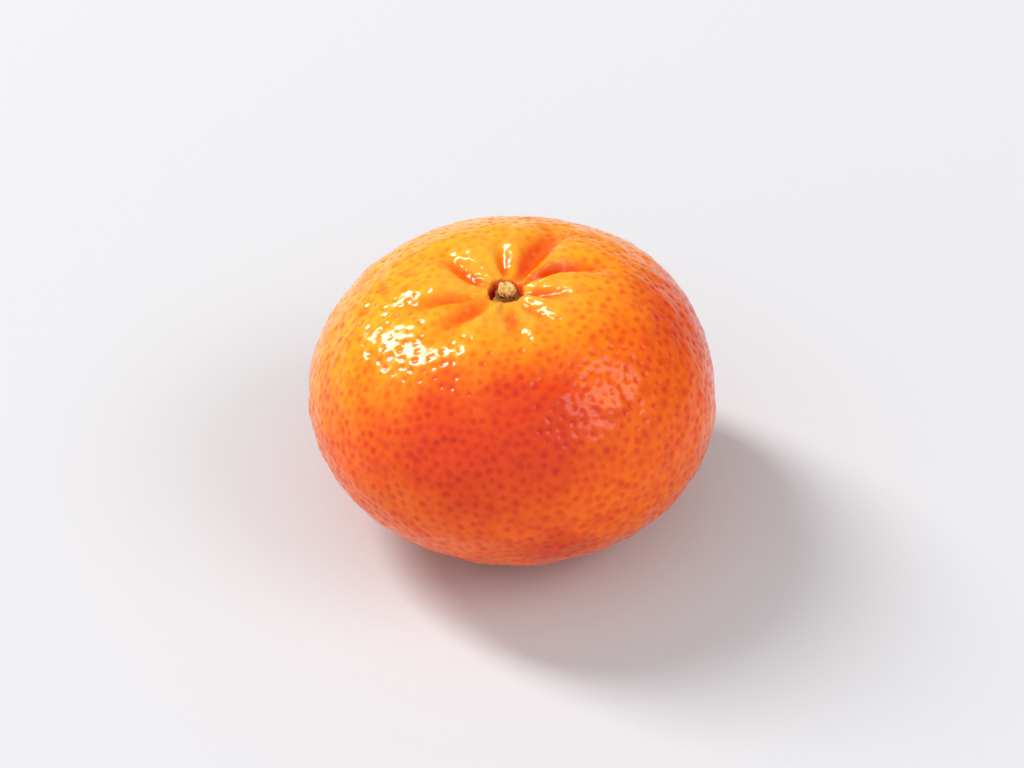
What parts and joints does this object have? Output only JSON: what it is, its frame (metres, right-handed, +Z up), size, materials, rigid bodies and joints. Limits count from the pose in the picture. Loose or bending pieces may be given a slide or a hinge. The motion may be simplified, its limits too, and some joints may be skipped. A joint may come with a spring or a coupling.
{
  "type": "mandarin",
  "caption": "Whole fresh mandarin, resting stem up: flattened round fruit with a puckered neck, pitted peel and a woody stem button in its pit.",
  "frame": {"origin": "on the surface that the fruit rests on, under the middle of the fruit's bounding box", "axes": "+Z up through the stem end, +X to the right and +Y away from the viewer of the reference picture"},
  "size_m": [0.0616, 0.061, 0.0426],
  "materials": {
    "peel": "waxy gloss over fine pits, orange, yellower round the neck and redder on one cheek",
    "stalk": "dry and rough, tan with dark brown cracks"
  },
  "bodies": {
    "root": {"fruit": "peel", "stem_button": "stalk"}
  },
  "joints": []
}
